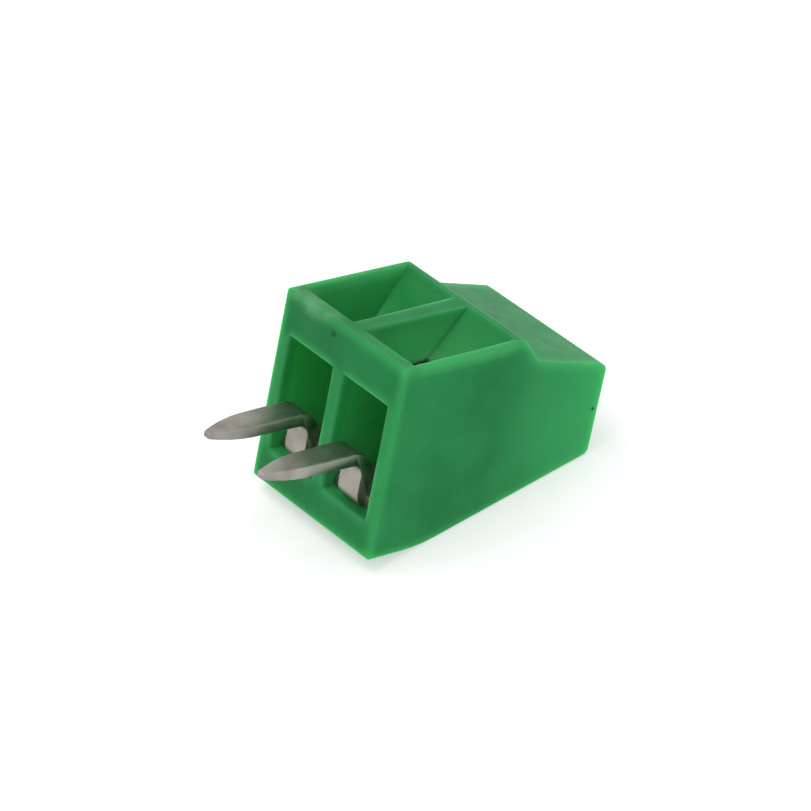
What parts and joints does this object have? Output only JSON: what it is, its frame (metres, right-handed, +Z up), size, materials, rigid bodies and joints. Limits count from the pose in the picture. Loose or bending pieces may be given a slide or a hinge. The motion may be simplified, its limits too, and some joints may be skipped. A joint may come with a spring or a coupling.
{
  "type": "pcb screw terminal",
  "caption": "Low-profile board-mount screw terminal block with funnel wire entries, rising-cage clamps, slotted screws and straight solder pins.",
  "frame": {"origin": "on the board's surface, midway between the two solder pins", "axes": "+Z up out of the board towards the screws, +Y from the wire-entry face to the back, +X along the row from pole 1 to pole 2"},
  "size_m": [0.0056, 0.0065, 0.0122],
  "materials": {
    "housing_plastic": "satin moulded polyamide",
    "contact_metal": "tin-plated brass, dull",
    "cage_metal": "nickel-plated brass",
    "screw_metal": "zinc-plated steel"
  },
  "bodies": {
    "block": {"housing": "housing_plastic", "contact_1": "contact_metal", "contact_2": "contact_metal"},
    "screw_1": {"screw_1": "screw_metal"},
    "screw_2": {"screw_2": "screw_metal"},
    "cage_1": {"cage_1": "cage_metal"},
    "cage_2": {"cage_2": "cage_metal"}
  },
  "joints": [
    {"name": "cage_1_lift", "type": "slide", "parent": "block", "child": "cage_1", "axis": [0, 0, 1], "range_m": [-0.0014, 0]},
    {"name": "cage_2_lift", "type": "slide", "parent": "block", "child": "cage_2", "axis": [0, 0, 1], "range_m": [-0.0014, 0]},
    {"name": "screw_1_turn", "type": "hinge", "parent": "block", "child": "screw_1", "pos_m": [-0.00127, -0.00035, 0.0063], "axis": [0, 0, 1], "range_deg": [0, 1440]},
    {"name": "screw_2_turn", "type": "hinge", "parent": "block", "child": "screw_2", "pos_m": [0.00127, -0.00035, 0.0063], "axis": [0, 0, 1], "range_deg": [0, 1440]}
  ],
  "couplings": [
    {"joint": "screw_1_turn", "follows": "cage_1_lift", "rad_per_m": -17950},
    {"joint": "screw_2_turn", "follows": "cage_2_lift", "rad_per_m": -17950}
  ]
}
